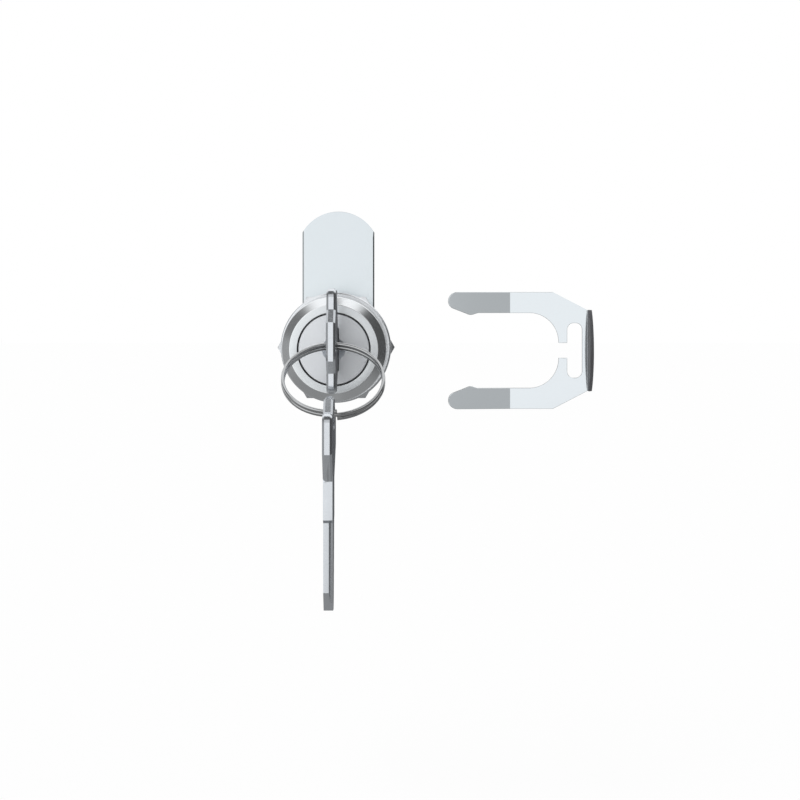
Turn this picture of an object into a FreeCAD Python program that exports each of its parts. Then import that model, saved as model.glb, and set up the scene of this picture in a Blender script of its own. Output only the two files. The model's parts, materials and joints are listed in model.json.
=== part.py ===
import FreeCAD, Part
import math
import os
from FreeCAD import Vector

# Millimetres. The lock axis is the Y axis: the front, where the key goes in, is towards -Y,
# the inside of the enclosure towards +Y, and +Z is up.
# The origin is where the lock axis crosses the front face of the panel, under the gasket.

# Head and barrel
head_overhang = 1.75
head_height = 5.0
bevel_width = 1.75
bevel_height = 1.9
barrel_radius = 9.5
barrel_length = 21.4
barrel_across_flats = 17.6
barrel_end_chamfer = 0.6
gasket_thickness = 0.8
gasket_margin = 0.35

# Groove that the retaining clip is pushed into
groove_start = 0.8
groove_across = 14.9
groove_play = 0.2

# Plug
flange_radius = 7.55
flange_thickness = 3.0
flange_gap = 0.3
plug_radius = 6.5
running_clearance = 0.05
end_play = 0.1
face_recess_radius = 2.7
face_recess_depth = 0.9
edge_break = 0.1
tail_square = 7.0
stud_radius = 3.0
stud_length = 6.2
stud_chamfer = 0.4

# Seal round the plug
seal_section = 1.0
seal_squeeze_gap = 0.03
seal_place = 3.0
seal_groove_play = 0.2
seal_sides = 6

# Key
key_thickness = 1.9
bow_width = 21.9
bow_offset = 2.05
bow_length = 15.9
bow_nose_width = 8.0
bow_nose_height = 2.5
bow_nose_slope = 2.6
bow_corner = 2.0
bow_shoulder_length = 5.5
bow_hole_radius = 2.1
bow_hole_from_end = 4.3
neck_width = 9.0
neck_length = 7.55
neck_showing = 1.6
blade_width = 7.0
blade_length = 18.0
blade_shoulder = 0.6
rebate_from = 0.2
rebate_depth = 1.1
rebate_floor_fall = 0.22
rebate_wall_lean = 0.2
tip_length = 3.8
tip_low = 1.3
tip_high = 0.3
key_clearance = 0.1

# Wafers, their springs and the cuts in the blade
wafer_count = 5
wafer_first = 5.4
wafer_pitch = 2.4
wafer_thickness = 1.1
wafer_width = 5.9
wafer_slot_play = 0.05
wafer_lift = 1.0
wafer_rest_gap = 0.08
wafer_end_gap = 0.1
shallowest_cut = 0.5
cut_step = 0.4
cut_flat = 1.3
ear_width = 1.4
ear_height = 1.2
ear_top = -1.4
spring_radius = 0.45
spring_wire = 0.2
spring_pitch = 0.76
spring_length = 4.0
spring_steps = 10
spring_wire_sides = 5
pocket_play = 0.1
spring_end_gap = 0.02
ear_stop_gap = 0.2
window_play = 0.2
channel_play = 0.3
channel_end_play = 0.4

# Stop washer, cam and their fasteners
stop_washer_thickness = 1.0
stop_washer_radius = 7.6
stop_tab_radius = 9.3
stop_tab_angle = 24.0
stop_start_angle = -45.0
turn_angle = 90.0
stop_slack_angle = 1.0
stop_wall_gap = 0.3
cam_thickness = 2.0
cam_width = 16.5
cam_reach = 30.8
cam_tip_radius = 9.5
square_clearance = 0.05
seat_gap = 0.1
cam_washer_radius = 5.9
cam_washer_thickness = 1.4
cam_washer_split = 1.0
cam_washer_play = 0.16
cam_nut_across = 10.0
cam_nut_thickness = 4.0

# Panel nut and its washer
nut_thickness = 5.0
nut_clearance = 0.06
nut_washer_rim = 0.95
nut_washer_thickness = 1.2
nut_washer_place = 6.4
nut_chamfer_angle = 30.0
nut_sides = 6

# Split ring and the spare key hanging from it
ring_radius = 10.5
ring_wire = 0.7
ring_pitch = 1.12
ring_turns = 2
ring_tilt = 49.5
ring_sideways = 0.7
ring_cut_angle = 288.0
spare_sideways = 0.2
ring_wire_sides = 8

# Horseshoe clip, shown apart to the right of the lock
clip_thickness = 0.8
clip_gap = 16.4
clip_prong_width = 4.55
clip_prong_length = 17.8
clip_bump = 0.5
clip_bump_from_tip = 4.9
clip_bump_ramp = 1.6
clip_bump_round = 0.7
clip_bump_flattening = 0.08
clip_nose_radius = 1.95
clip_nose_run = 1.0
clip_nose_drop = 1.6
clip_bend_from_tip = 13.6
clip_bend_angle = 7.0
clip_throat_radius = 6.4
clip_throat_depth = 6.45
clip_neck_width = 1.85
clip_neck_gap = 3.3
clip_slot_width = 3.3
clip_slot_height = 12.0
clip_slot_radius = 1.45
clip_strip_width = 1.1
clip_slant_length = 7.5
clip_end_height = 17.7
clip_tab_height = 6.5
clip_tab_side_height = 2.5
clip_bend_radius = 0.1
clip_away = 24.6
clip_drop = 0.5

# How far a cutting shape runs past what it cuts, and how close counts as the same place
past = 1.0
near = 0.001
path_points = 160

# Places worked out from the sizes
head_radius = barrel_radius + head_overhang
face_radius = head_radius - bevel_width
nut_across = 2 * head_radius
nut_washer_radius = head_radius + nut_washer_rim
seat_y = -gasket_thickness
face_y = seat_y - head_height
counterbore_y = face_y + flange_thickness
bore_radius = plug_radius + running_clearance
barrel_end = barrel_length
plug_end = barrel_end + end_play
groove_end = (groove_start + clip_thickness + groove_play
              + (clip_bend_from_tip + clip_thickness) * math.sin(math.radians(clip_bend_angle)))
clip_rear = groove_end - groove_play / 2
bow_end = face_y - bow_length - neck_showing
neck_start = bow_end + bow_length
blade_start = neck_start + neck_length
blade_end = blade_start + blade_length
stop_washer_y = plug_end
cam_y = stop_washer_y + stop_washer_thickness + seat_gap
cam_washer_y = cam_y + cam_thickness
cam_nut_y = cam_washer_y + cam_washer_thickness
tail_end = cam_y + cam_thickness - seat_gap
nut_washer_y = nut_washer_place
nut_y = nut_washer_y + nut_washer_thickness
ring_mean_radius = ring_radius - ring_wire / 2
ring_bundle = ring_pitch + ring_wire
hook_offset = bow_hole_radius - ring_bundle / 2 - seat_gap


def wafer_place(index):
    return wafer_first + index * wafer_pitch


def cut_height(index):
    return blade_width / 2 - shallowest_cut - index * cut_step


def box(x_low, x_high, y_low, y_high, z_low, z_high):
    size = Vector(x_high - x_low, y_high - y_low, z_high - z_low)
    return Part.makeBox(size.x, size.y, size.z, Vector(x_low, y_low, z_low))


def rod(radius, y_low, y_high):
    return Part.makeCylinder(radius, y_high - y_low, Vector(0, y_low, 0), Vector(0, 1, 0))


def line(start, end):
    return Part.LineSegment(start, end).toShape()


def arc(start, through, end):
    return Part.Arc(start, through, end).toShape()


def turned(profile):
    """A solid turned about the lock axis from (radius, y) points."""
    points = [Vector(radius, y, 0) for radius, y in profile]
    face = Part.Face(Part.makePolygon(points + points[:1]))
    return face.revolve(Vector(0, 0, 0), Vector(0, 1, 0), 360)


def plate_in_yz(wire_edges, thickness):
    """A plate of the given outline in the key's plane, centred on that plane."""
    face = Part.Face(Part.Wire(wire_edges))
    solid = face.extrude(Vector(thickness, 0, 0))
    solid.translate(Vector(-thickness / 2, 0, 0))
    return solid


def polygon_edges(points):
    closed = points + points[:1]
    return [line(a, b) for a, b in zip(closed[:-1], closed[1:])]


def hexagon(across_flats, y_low, y_high, bore, chamfer_both):
    """A hexagon nut about the lock axis, one corner towards +X, chamfered behind or on both sides."""
    corner = across_flats / 2 / math.cos(math.pi / nut_sides)
    turns = [2 * math.pi * k / nut_sides for k in range(nut_sides)]
    points = [Vector(corner * math.cos(turn), y_low, corner * math.sin(turn)) for turn in turns]
    prism = Part.Face(Part.makePolygon(points + points[:1])).extrude(Vector(0, y_high - y_low, 0))
    drop = (corner - across_flats / 2) * math.tan(math.radians(nut_chamfer_angle))
    front_drop = drop if chamfer_both else 0.0
    front_radius = across_flats / 2 if chamfer_both else corner
    dome = turned([(0, y_low), (front_radius, y_low), (corner, y_low + front_drop),
                   (corner, y_high - drop), (across_flats / 2, y_high), (0, y_high)])
    return prism.common(dome).cut(rod(bore, y_low - past, y_high + past))


def biarc(start, start_way, end, end_way):
    """Two arcs that leave start along start_way and reach end along end_way."""
    chord = end - start
    both = start_way + end_way
    a = 2 * (start_way.dot(end_way) - 1)
    b = -2 * chord.dot(both)
    c = chord.dot(chord)
    reach = abs((-b - math.sqrt(b * b - 4 * a * c)) / (2 * a))
    first_corner = start + start_way * reach
    second_corner = end - end_way * reach
    middle = (first_corner + second_corner) * 0.5
    return [corner_arc(start, first_corner, middle), corner_arc(middle, second_corner, end)]


def corner_arc(start, corner, end):
    """The arc that touches both lines of a corner at start and end."""
    chord_middle = (start + end) * 0.5
    half = (end - start).Length / 2
    height = (corner - chord_middle).Length
    radius = half * (corner - start).Length / height
    sagitta = radius - math.sqrt(radius * radius - half * half)
    through = chord_middle + (corner - chord_middle) * (sagitta / height)
    return arc(start, through, end)


def round_section(centre, way, radius, sides):
    """A many-sided section of a wire, square to its way."""
    side = Vector(0, 0, 1) if abs(way.z) < 0.9 else Vector(1, 0, 0)
    across = (side - way * side.dot(way)).normalize()
    other = way.cross(across)
    points = [centre + across * (radius * math.cos(2 * math.pi * (k + 0.5) / sides))
              + other * (radius * math.sin(2 * math.pi * (k + 0.5) / sides)) for k in range(sides)]
    return Part.makePolygon(points + points[:1])


def ring_path():
    """The ring's wire line: quarter turns wound about the Z axis, rising from z = 0."""
    climb = ring_pitch / (2 * math.pi)
    knots = []
    for quarter in range(ring_turns * 4 + 1):
        angle = math.radians(ring_cut_angle) + quarter * math.pi / 2
        place = Vector(ring_mean_radius * math.cos(angle), ring_mean_radius * math.sin(angle),
                       ring_pitch * quarter / 4)
        way = Vector(-ring_mean_radius * math.sin(angle), ring_mean_radius * math.cos(angle), climb)
        knots.append((place, way.normalize()))
    edges = []
    for (start, start_way), (end, end_way) in zip(knots[:-1], knots[1:]):
        edges += biarc(start, start_way, end, end_way)
    return Part.Wire(edges), knots[0]


def ring_layer_middle(angle):
    """How far the middle of the two turns lies from the ring's middle plane at this angle."""
    return ring_pitch * (((angle - ring_cut_angle) % 360) / 360 - 0.5)


def ring_gap(path):
    """The least distance between the surfaces of one turn and the next, from points of the path."""
    points = path.discretize(Number=path_points)
    apart = path_points // (ring_turns * 2)
    least = min((points[i] - points[j]).Length
                for i in range(path_points)
                for j in range(i + apart, path_points))
    return least - ring_wire


def spot(y, z):
    return Vector(0, y, z)


def key_outline():
    """The key's edge line, from the nose of the bow to the tip of the blade and back."""
    low = bow_offset - bow_width / 2
    high = bow_offset + bow_width / 2
    nose_low = bow_offset - bow_nose_width / 2
    nose_high = bow_offset + bow_nose_width / 2
    flat_y = bow_end + bow_nose_height
    side_end = neck_start - bow_shoulder_length
    turn = bow_corner * (1 - math.sqrt(0.5))
    neck = neck_width / 2
    blade = blade_width / 2
    edges = [
        line(spot(bow_end, nose_low), spot(bow_end, nose_high)),
        line(spot(bow_end, nose_high), spot(flat_y, nose_high + bow_nose_slope)),
        line(spot(flat_y, nose_high + bow_nose_slope), spot(flat_y, high - bow_corner)),
        arc(spot(flat_y, high - bow_corner), spot(flat_y + turn, high - turn),
            spot(flat_y + bow_corner, high)),
        line(spot(flat_y + bow_corner, high), spot(side_end, high)),
        line(spot(side_end, high), spot(neck_start, neck)),
        line(spot(neck_start, neck), spot(blade_start, neck)),
        line(spot(blade_start, neck), spot(blade_start + blade_shoulder, blade)),
    ]
    top = [spot(blade_start + blade_shoulder, blade)]
    for index in range(wafer_count):
        top.append(spot(wafer_place(index) - cut_flat / 2, cut_height(index)))
        top.append(spot(wafer_place(index) + cut_flat / 2, cut_height(index)))
    top.append(spot(blade_end, tip_high))
    top.append(spot(blade_end, -tip_low))
    top.append(spot(blade_end - tip_length, -blade))
    top.append(spot(blade_start + blade_shoulder, -blade))
    edges += [line(a, b) for a, b in zip(top[:-1], top[1:])]
    edges += [
        line(spot(blade_start + blade_shoulder, -blade), spot(blade_start, -neck)),
        line(spot(blade_start, -neck), spot(neck_start, -neck)),
        line(spot(neck_start, -neck), spot(side_end, low)),
        line(spot(side_end, low), spot(flat_y + bow_corner, low)),
        arc(spot(flat_y + bow_corner, low), spot(flat_y + turn, low + turn),
            spot(flat_y, low + bow_corner)),
        line(spot(flat_y, low + bow_corner), spot(flat_y, nose_low - bow_nose_slope)),
        line(spot(flat_y, nose_low - bow_nose_slope), spot(bow_end, nose_low)),
    ]
    return edges


def rebates(grow):
    """The two long rebates that give the blade its stepped section, smaller by grow for the keyway."""
    half = key_thickness / 2 + past
    edge = -blade_width / 2
    slope = rebate_floor_fall / (key_thickness / 2)
    floor = edge + rebate_depth - grow
    foot = rebate_from + grow
    wall = foot + rebate_wall_lean
    profile = [Vector(foot, blade_start, edge - past), Vector(foot, blade_start, edge - grow),
               Vector(wall, blade_start, floor), Vector(half, blade_start, floor + slope * (half - wall)),
               Vector(half, blade_start, edge - past)]
    length = blade_length + past
    low_right = Part.Face(Part.makePolygon(profile + profile[:1])).extrude(Vector(0, length, 0))
    high_left = low_right.copy()
    high_left.rotate(Vector(0, 0, 0), Vector(0, 1, 0), 180)
    return low_right, high_left


def make_key():
    key = plate_in_yz(key_outline(), key_thickness)
    for rebate in rebates(0.0):
        rebate.translate(Vector(0, blade_shoulder, 0))
        key = key.cut(rebate)
    hole_y = bow_end + bow_hole_from_end
    hole = Part.makeCylinder(bow_hole_radius, key_thickness * 2,
                             Vector(-key_thickness, hole_y, bow_offset), Vector(1, 0, 0))
    return key.cut(hole)


def keyway():
    half = key_thickness / 2 + key_clearance
    neck = neck_width / 2 + key_clearance
    blade = blade_width / 2 + key_clearance
    mouth = box(-half, half, face_y - past, blade_start + blade_shoulder + key_clearance, -neck, neck)
    slot = box(-half, half, face_y - past, blade_end + key_clearance, -blade, blade)
    for rebate in rebates(key_clearance):
        slot = slot.cut(rebate)
    return mouth.fuse(slot)


def make_lock_body():
    lip = edge_break
    mouth = flange_radius + flange_gap
    outside = turned([
        (0, face_y), (face_radius, face_y), (head_radius - lip, face_y + bevel_height),
        (head_radius, face_y + bevel_height + lip), (head_radius, seat_y), (barrel_radius, seat_y),
        (barrel_radius, barrel_end - barrel_end_chamfer),
        (barrel_radius - barrel_end_chamfer, barrel_end), (0, barrel_end)])
    body = outside.fuse(stop_wall())
    body = body.cut(rod(bore_radius, face_y - past, barrel_end + 2 * past))
    body = body.cut(turned([
        (0, face_y - past), (mouth + lip, face_y - past), (mouth + lip, face_y),
        (mouth, face_y + lip), (mouth, counterbore_y), (0, counterbore_y)]))
    for side in (-1, 1):
        body = body.cut(flat_cut(side, barrel_across_flats / 2, seat_y, stop_washer_y + 2 * past))
        body = body.cut(flat_cut(side, groove_across / 2, groove_start, groove_end))
    return body.cut(wafer_channel(0)).cut(wafer_channel(turn_angle)).removeSplitter()


def flat_cut(side, height, y_low, y_high):
    """What is cut off the barrel above or below a flat at this height."""
    block = box(-head_radius, head_radius, y_low, y_high, height, head_radius)
    if side < 0:
        block.rotate(Vector(0, 0, 0), Vector(0, 1, 0), 180)
    return block


def wafer_channel(angle):
    """The channel in the bore wall that the wafers spring into, below the axis and turned by angle."""
    half = wafer_width / 2 + channel_play
    depth = plug_radius - wafer_end_gap + wafer_lift + channel_play
    start = wafer_place(0) - wafer_thickness / 2 - channel_end_play
    end = wafer_place(wafer_count - 1) + wafer_thickness / 2 + channel_end_play
    channel = box(-half, half, start, end, -depth, 0)
    channel.rotate(Vector(0, 0, 0), Vector(0, 1, 0), angle)
    return channel


def sector(r_low, r_high, y_low, y_high, angle_low, angle_high):
    """A ring sector about the lock axis; angles run from +Z towards +X."""
    face = Part.Face(Part.Wire(polygon_edges([
        Vector(0, y_low, r_low), Vector(0, y_low, r_high),
        Vector(0, y_high, r_high), Vector(0, y_high, r_low)])))
    face.rotate(Vector(0, 0, 0), Vector(0, 1, 0), angle_low)
    return face.revolve(Vector(0, 0, 0), Vector(0, 1, 0), angle_high - angle_low)


def stop_wall():
    """The raised wall behind the barrel whose two ends stop the tab of the stop washer."""
    open_low = stop_start_angle - stop_tab_angle / 2 - stop_slack_angle
    open_high = stop_start_angle + turn_angle + stop_tab_angle / 2 + stop_slack_angle
    return sector(stop_washer_radius + stop_wall_gap, barrel_radius - barrel_end_chamfer,
                  barrel_end - past, stop_washer_y + stop_washer_thickness,
                  open_high, open_low + 360)


def make_head_gasket():
    outer = head_radius - gasket_margin
    return rod(outer, seat_y, 0).cut(rod(barrel_radius + nut_clearance, seat_y - past, past))


def make_plug():
    lip = edge_break
    plug = turned([
        (0, face_y), (flange_radius - lip, face_y), (flange_radius, face_y + lip),
        (flange_radius, counterbore_y), (plug_radius, counterbore_y),
        (plug_radius, plug_end), (0, plug_end)])
    half = tail_square / 2
    plug = plug.fuse(box(-half, half, plug_end - past, tail_end, -half, half))
    stud_end = cam_nut_y + stud_length
    plug = plug.fuse(turned([
        (0, tail_end - past), (stud_radius, tail_end - past), (stud_radius, stud_end - stud_chamfer),
        (stud_radius - stud_chamfer, stud_end), (0, stud_end)]))
    plug = plug.cut(rod(face_recess_radius, face_y - past, face_y + face_recess_depth))
    plug = plug.cut(keyway())
    floor = plug_radius - seal_section + running_clearance
    groove_end_y = seal_place + seal_section + seal_groove_play
    seal_groove = rod(plug_radius + past, seal_place, groove_end_y)
    plug = plug.cut(seal_groove.cut(rod(floor, seal_place - past, groove_end_y + past)))
    for index in range(wafer_count):
        plug = plug.cut(wafer_slot(index))
    return plug.removeSplitter()


def wafer_slot(index):
    """The slot across the plug for one wafer, with the pocket beside it for ear and spring."""
    y = wafer_place(index)
    half = wafer_thickness / 2 + wafer_slot_play
    side = wafer_width / 2 + wafer_slot_play
    reach = plug_radius + past
    slot = box(-side, side, y - half, y + half, -reach, reach)
    pocket_half = spring_radius + spring_wire / 2 + pocket_play
    pocket_low = ear_top - ear_height - wafer_lift - ear_stop_gap
    pocket = box(0, wafer_width / 2 + ear_width + wafer_slot_play, y - pocket_half, y + pocket_half,
                 pocket_low, ear_top + spring_length)
    return slot.fuse(pocket)


def make_plug_seal():
    section = seal_section / 2 - seal_squeeze_gap
    middle = Vector(plug_radius + running_clearance - seal_section / 2,
                    seal_place + (seal_section + seal_groove_play) / 2, 0)
    face = Part.Face(round_section(middle, Vector(0, 0, 1), section, seal_sides))
    return face.revolve(Vector(0, 0, 0), Vector(0, 1, 0), 360)


def make_wafer(index):
    """A flat wafer whose window rests on the blade's cut, with an ear for its spring."""
    y = wafer_place(index)
    half = wafer_thickness / 2
    side = wafer_width / 2
    reach = plug_radius - wafer_end_gap
    wafer = box(-side, side, y - half, y + half, -reach, reach)
    wafer = wafer.common(rod(reach, y - half, y + half))
    wafer = wafer.fuse(box(side - ear_width, side + ear_width, y - half, y + half,
                           ear_top - ear_height, ear_top))
    window_half = key_thickness / 2 + window_play
    window_low = -blade_width / 2 - window_play
    window_high = cut_height(index) + wafer_rest_gap
    window = box(-window_half, window_half, y - past, y + past, window_low, window_high)
    return wafer.cut(window).removeSplitter()


def make_wafer_spring(index):
    """The spring that stands on the wafer's ear and presses against the top of its pocket."""
    turns = round((spring_length - spring_wire) / spring_pitch * 4) / 4
    pitch = (spring_length - spring_wire - 2 * spring_end_gap) / turns
    climb = pitch / (2 * math.pi)
    sections = []
    for step in range(int(turns * spring_steps) + 1):
        angle = 2 * math.pi * step / spring_steps
        place = Vector(spring_radius * math.cos(angle), spring_radius * math.sin(angle),
                       pitch * step / spring_steps)
        way = Vector(-spring_radius * math.sin(angle), spring_radius * math.cos(angle), climb)
        sections.append(round_section(place, way.normalize(), spring_wire / 2, spring_wire_sides))
    spring = Part.makeLoft(sections, True, True)
    if index == 0:
        print("wafer spring gap to itself", round(pitch - spring_wire, 3))
    spring.translate(Vector(wafer_width / 2 + ear_width / 2, wafer_place(index),
                            ear_top + spring_wire / 2 + spring_end_gap))
    return spring


def make_stop_washer():
    y_high = stop_washer_y + stop_washer_thickness
    washer = rod(stop_washer_radius, stop_washer_y, y_high)
    tab = sector(stop_washer_radius - past, stop_tab_radius, stop_washer_y, y_high,
                 stop_start_angle - stop_tab_angle / 2, stop_start_angle + stop_tab_angle / 2)
    return washer.fuse(tab).cut(square_hole(stop_washer_y, y_high)).removeSplitter()


def square_hole(y_low, y_high):
    half = tail_square / 2 + square_clearance
    return box(-half, half, y_low - past, y_high + past, -half, half)


def make_cam():
    """The latch tongue: round about the tail, straight sided, with a wide rounded tip."""
    half = cam_width / 2
    shoulder = cam_reach - cam_tip_radius + math.sqrt(cam_tip_radius ** 2 - half ** 2)
    left_low = Vector(-half, cam_y, 0)
    left_high = Vector(-half, cam_y, shoulder)
    right_low = Vector(half, cam_y, 0)
    right_high = Vector(half, cam_y, shoulder)
    cam = Part.Face(Part.Wire([
        arc(right_low, Vector(0, cam_y, -half), left_low), line(left_low, left_high),
        arc(left_high, Vector(0, cam_y, cam_reach), right_high), line(right_high, right_low),
    ])).extrude(Vector(0, cam_thickness, 0))
    return cam.cut(square_hole(cam_y, cam_y + cam_thickness))


def make_cam_washer():
    """A split spring washer under the cam's nut."""
    y_high = cam_washer_y + cam_washer_thickness
    washer = rod(cam_washer_radius, cam_washer_y, y_high)
    washer = washer.cut(rod(stud_radius + cam_washer_play, cam_washer_y - past, y_high + past))
    split = box(-cam_washer_split / 2, cam_washer_split / 2, cam_washer_y - past, y_high + past,
                -cam_washer_radius - past, 0)
    return washer.cut(split)


def make_cam_nut():
    return hexagon(cam_nut_across, cam_nut_y, cam_nut_y + cam_nut_thickness,
                   stud_radius + nut_clearance, chamfer_both=False)


def make_nut_washer():
    y_high = nut_washer_y + nut_washer_thickness
    washer = rod(nut_washer_radius, nut_washer_y, y_high)
    return washer.cut(rod(barrel_radius + nut_clearance, nut_washer_y - past, y_high + past))


def make_hex_nut():
    return hexagon(nut_across, nut_y, nut_y + nut_thickness, barrel_radius + nut_clearance,
                   chamfer_both=True)


def lock_hook():
    """Where the ring's wires cross the inserted key's plane, low in the bow hole."""
    return Vector(0, bow_end + bow_hole_from_end, bow_offset - hook_offset)


def spare_hook():
    """Where the ring's wires cross the spare key's plane, at the bottom of the ring."""
    tilt = math.radians(ring_tilt)
    down = Vector(0, -math.sin(tilt), -math.cos(tilt))
    upright = Vector(0, -math.cos(tilt), math.sin(tilt))
    step = ring_layer_middle(270) - ring_layer_middle(90)
    return lock_hook() + down * (2 * ring_mean_radius) + upright * step


def make_key_ring():
    """A split ring of two turns, leaning forward from the bow hole."""
    path, (start, way) = ring_path()
    section = round_section(start, way, ring_wire / 2, ring_wire_sides)
    ring = path.makePipeShell([section], True, False)
    print("key ring gap to itself", round(ring_gap(path), 3))
    top = Vector(0, ring_mean_radius, ring_pitch * ring_turns / 2 + ring_layer_middle(90))
    ring.translate(top * -1)
    ring.rotate(Vector(0, 0, 0), Vector(1, 0, 0), 90 - ring_tilt)
    ring.translate(lock_hook() + Vector(ring_sideways, 0, 0))
    return ring


def make_spare_key():
    """The second key, hanging tip down with the top of its bow hole on the ring."""
    key = make_key()
    hole = Vector(0, bow_end + bow_hole_from_end, bow_offset)
    key.rotate(hole, Vector(1, 0, 0), -90)
    key.translate(spare_hook() + Vector(spare_sideways, 0, -hook_offset) - hole)
    return key


def clip_prong(side):
    """One prong in the flat, from its tip to the throat, with its nose and its detent bump."""
    inner = clip_gap / 2
    outer = inner + clip_prong_width
    nose = clip_nose_radius
    turn = nose * (1 - math.sqrt(0.5))
    inner_nose = (clip_nose_run ** 2 + clip_nose_drop ** 2) / (2 * clip_nose_run)
    half_turn = math.asin(clip_nose_drop / inner_nose) / 2
    start = outer - nose
    peak = inner - clip_bump
    rise = (peak - start + clip_nose_drop) / (clip_bump_from_tip - clip_nose_run)
    fall = clip_bump / clip_bump_ramp
    curves = [
        [(nose, outer), (turn, outer - turn), (0, start)],
        [(0, start), (inner_nose * (1 - math.cos(half_turn)), start - inner_nose * math.sin(half_turn)),
         (clip_nose_run, start - clip_nose_drop)],
        [(clip_bump_from_tip - clip_bump_round, peak - rise * clip_bump_round),
         (clip_bump_from_tip, peak + clip_bump_flattening),
         (clip_bump_from_tip + clip_bump_round, peak + fall * clip_bump_round)],
    ]
    corners = [(clip_bump_from_tip + clip_bump_ramp, inner), (clip_prong_length, inner),
               (clip_prong_length, outer)]
    outer_nose, inner_curve, bump = [[Vector(x, 0, side * z) for x, z in curve] for curve in curves]
    rest = [bump[-1]] + [Vector(x, 0, side * z) for x, z in corners] + [outer_nose[0]]
    edges = [arc(*outer_nose), arc(*inner_curve), line(inner_curve[-1], bump[0]), arc(*bump)]
    edges += [line(a, b) for a, b in zip(rest[:-1], rest[1:])]
    return Part.Face(Part.Wire(edges)).extrude(Vector(0, -clip_thickness, 0))


def clip_web():
    """The closed end of the horseshoe: throat, neck, slot and the strip that the tab is bent from."""
    inner = clip_gap / 2
    outer = inner + clip_prong_width
    start = clip_prong_length
    throat = start + clip_throat_depth
    slot_start = throat + clip_neck_width
    slot_end = slot_start + clip_slot_width
    end = slot_end + clip_strip_width
    corner = end - clip_slant_length
    half_end = clip_end_height / 2
    outline = [Vector(start, 0, outer), Vector(corner, 0, outer), Vector(end, 0, half_end),
               Vector(end, 0, -half_end), Vector(corner, 0, -outer), Vector(start, 0, -outer)]
    web = Part.Face(Part.makePolygon(outline + outline[:1])).extrude(Vector(0, -clip_thickness, 0))
    mouth = box(start - past, throat, -clip_thickness - past, past, -inner, inner)
    corners = [edge for edge in mouth.Edges
               if abs(edge.BoundBox.XMin - throat) < near and edge.BoundBox.YLength > clip_thickness]
    mouth = mouth.makeFillet(clip_throat_radius, corners)
    slot = box(slot_start, slot_end, -clip_thickness - past, past,
               -clip_slot_height / 2, clip_slot_height / 2)
    slot = slot.makeFillet(clip_slot_radius, [edge for edge in slot.Edges
                                              if edge.BoundBox.YLength > clip_thickness])
    neck = box(throat - past, slot_start + past, -clip_thickness - past, past,
               -clip_neck_gap / 2, clip_neck_gap / 2)
    return web.cut(mouth).cut(slot).cut(neck), end, half_end


def clip_tab(end, half_end):
    """The rounded thumb tab, bent forward from the strip behind the slot."""
    bend = clip_bend_radius
    outside = bend + clip_thickness
    x = end + bend
    low_corner, high_corner = Vector(x, -outside, -half_end), Vector(x, -outside, half_end)
    low_side = Vector(x, -clip_tab_side_height, -half_end)
    high_side = Vector(x, -clip_tab_side_height, half_end)
    tab = Part.Face(Part.Wire([
        line(low_corner, high_corner), line(high_corner, high_side),
        arc(high_side, Vector(x, -clip_tab_height, 0), low_side), line(low_side, low_corner),
    ])).extrude(Vector(clip_thickness, 0, 0))
    bend_face = Part.Face(Part.Wire(polygon_edges([
        Vector(end, 0, -half_end), Vector(end, -clip_thickness, -half_end),
        Vector(end, -clip_thickness, half_end), Vector(end, 0, half_end)])))
    curl = bend_face.revolve(Vector(end, -outside, 0), Vector(0, 0, -1), 90)
    return tab.fuse(curl)


def make_retaining_clip():
    """The horseshoe clip at its place beside the lock, prongs towards the barrel."""
    web, end, half_end = clip_web()
    clip = web.fuse(clip_tab(end, half_end))
    for side in (-1, 1):
        prong = clip_prong(side)
        straight = box(clip_bend_from_tip, clip_prong_length, -clip_thickness - past, past,
                       -clip_gap, clip_gap)
        tip = prong.cut(straight)
        tip.rotate(Vector(clip_bend_from_tip, -clip_thickness / 2, 0), Vector(0, 0, 1), clip_bend_angle)
        foot = Vector(clip_bend_from_tip, -clip_thickness / 2, side * clip_gap / 2)
        bend = Part.makeCylinder(clip_thickness / 2, clip_prong_width, foot, Vector(0, 0, side))
        clip = clip.fuse(prong.common(straight)).fuse(tip).fuse(bend)
    clip.translate(Vector(clip_away, clip_rear, -clip_drop))
    return clip.removeSplitter()


def build():
    parts = {
        "lock_body": make_lock_body(),
        "head_gasket": make_head_gasket(),
        "nut_washer": make_nut_washer(),
        "hex_nut": make_hex_nut(),
        "plug": make_plug(),
        "plug_seal": make_plug_seal(),
        "stop_washer": make_stop_washer(),
        "cam": make_cam(),
        "cam_washer": make_cam_washer(),
        "cam_nut": make_cam_nut(),
        "key": make_key(),
        "spare_key": make_spare_key(),
        "key_ring": make_key_ring(),
        "retaining_clip": make_retaining_clip(),
    }
    for index in range(wafer_count):
        parts[f"wafer_{index + 1}"] = make_wafer(index)
        parts[f"wafer_spring_{index + 1}"] = make_wafer_spring(index)
    return parts


os.makedirs("parts", exist_ok=True)
for name, shape in build().items():
    print(name, len(shape.Solids), "valid" if shape.isValid() else "INVALID", round(shape.Volume, 2))
    shape.exportStep(f"parts/{name}.step")
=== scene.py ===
import bmesh
import bpy
import json
import math
from mathutils import Matrix, Vector


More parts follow.
